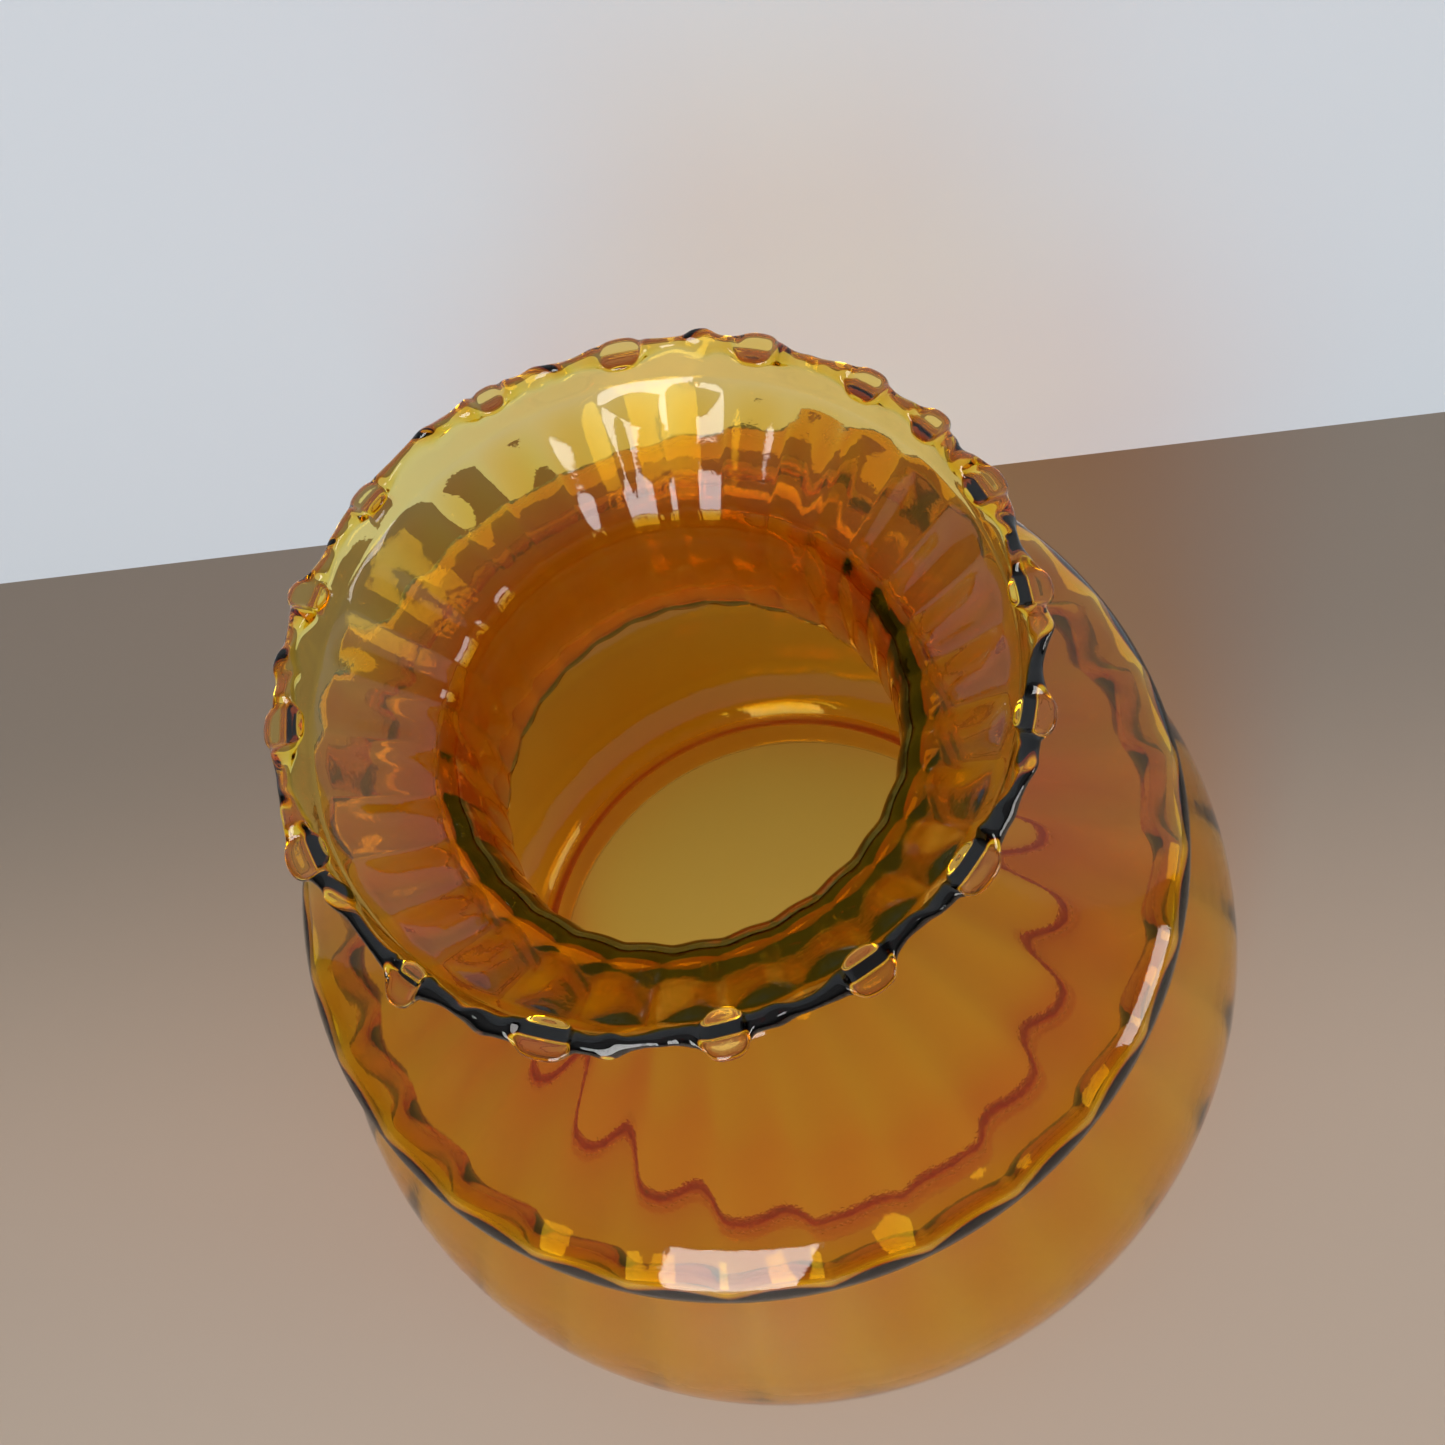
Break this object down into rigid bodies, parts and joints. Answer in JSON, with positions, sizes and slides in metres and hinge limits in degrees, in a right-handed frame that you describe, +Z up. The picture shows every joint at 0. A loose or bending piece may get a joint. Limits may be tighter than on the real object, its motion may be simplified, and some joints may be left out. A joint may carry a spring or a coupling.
{
  "type": "glass lamp shade",
  "caption": "Amber ribbed-glass lamp shade, open at both ends, with a crimped flared top and a plain collar for a shade holder.",
  "frame": {"origin": "centre of the ground bottom edge of the fitter collar", "axes": "+Z up along the axis of the shade, from the fitter collar to the crimped lip; +X and +Y are square to it"},
  "size_m": [0.2818, 0.2818, 0.2555],
  "materials": {
    "amber_glass": "gloss",
    "deep_amber_glass": "gloss",
    "lip_glass": "gloss"
  },
  "bodies": {
    "root": {"fitter_collar": "deep_amber_glass", "lower_bell": "amber_glass", "shoulder": "amber_glass", "throat": "deep_amber_glass", "flared_mouth": "amber_glass", "crimped_lip": "lip_glass"}
  },
  "joints": []
}
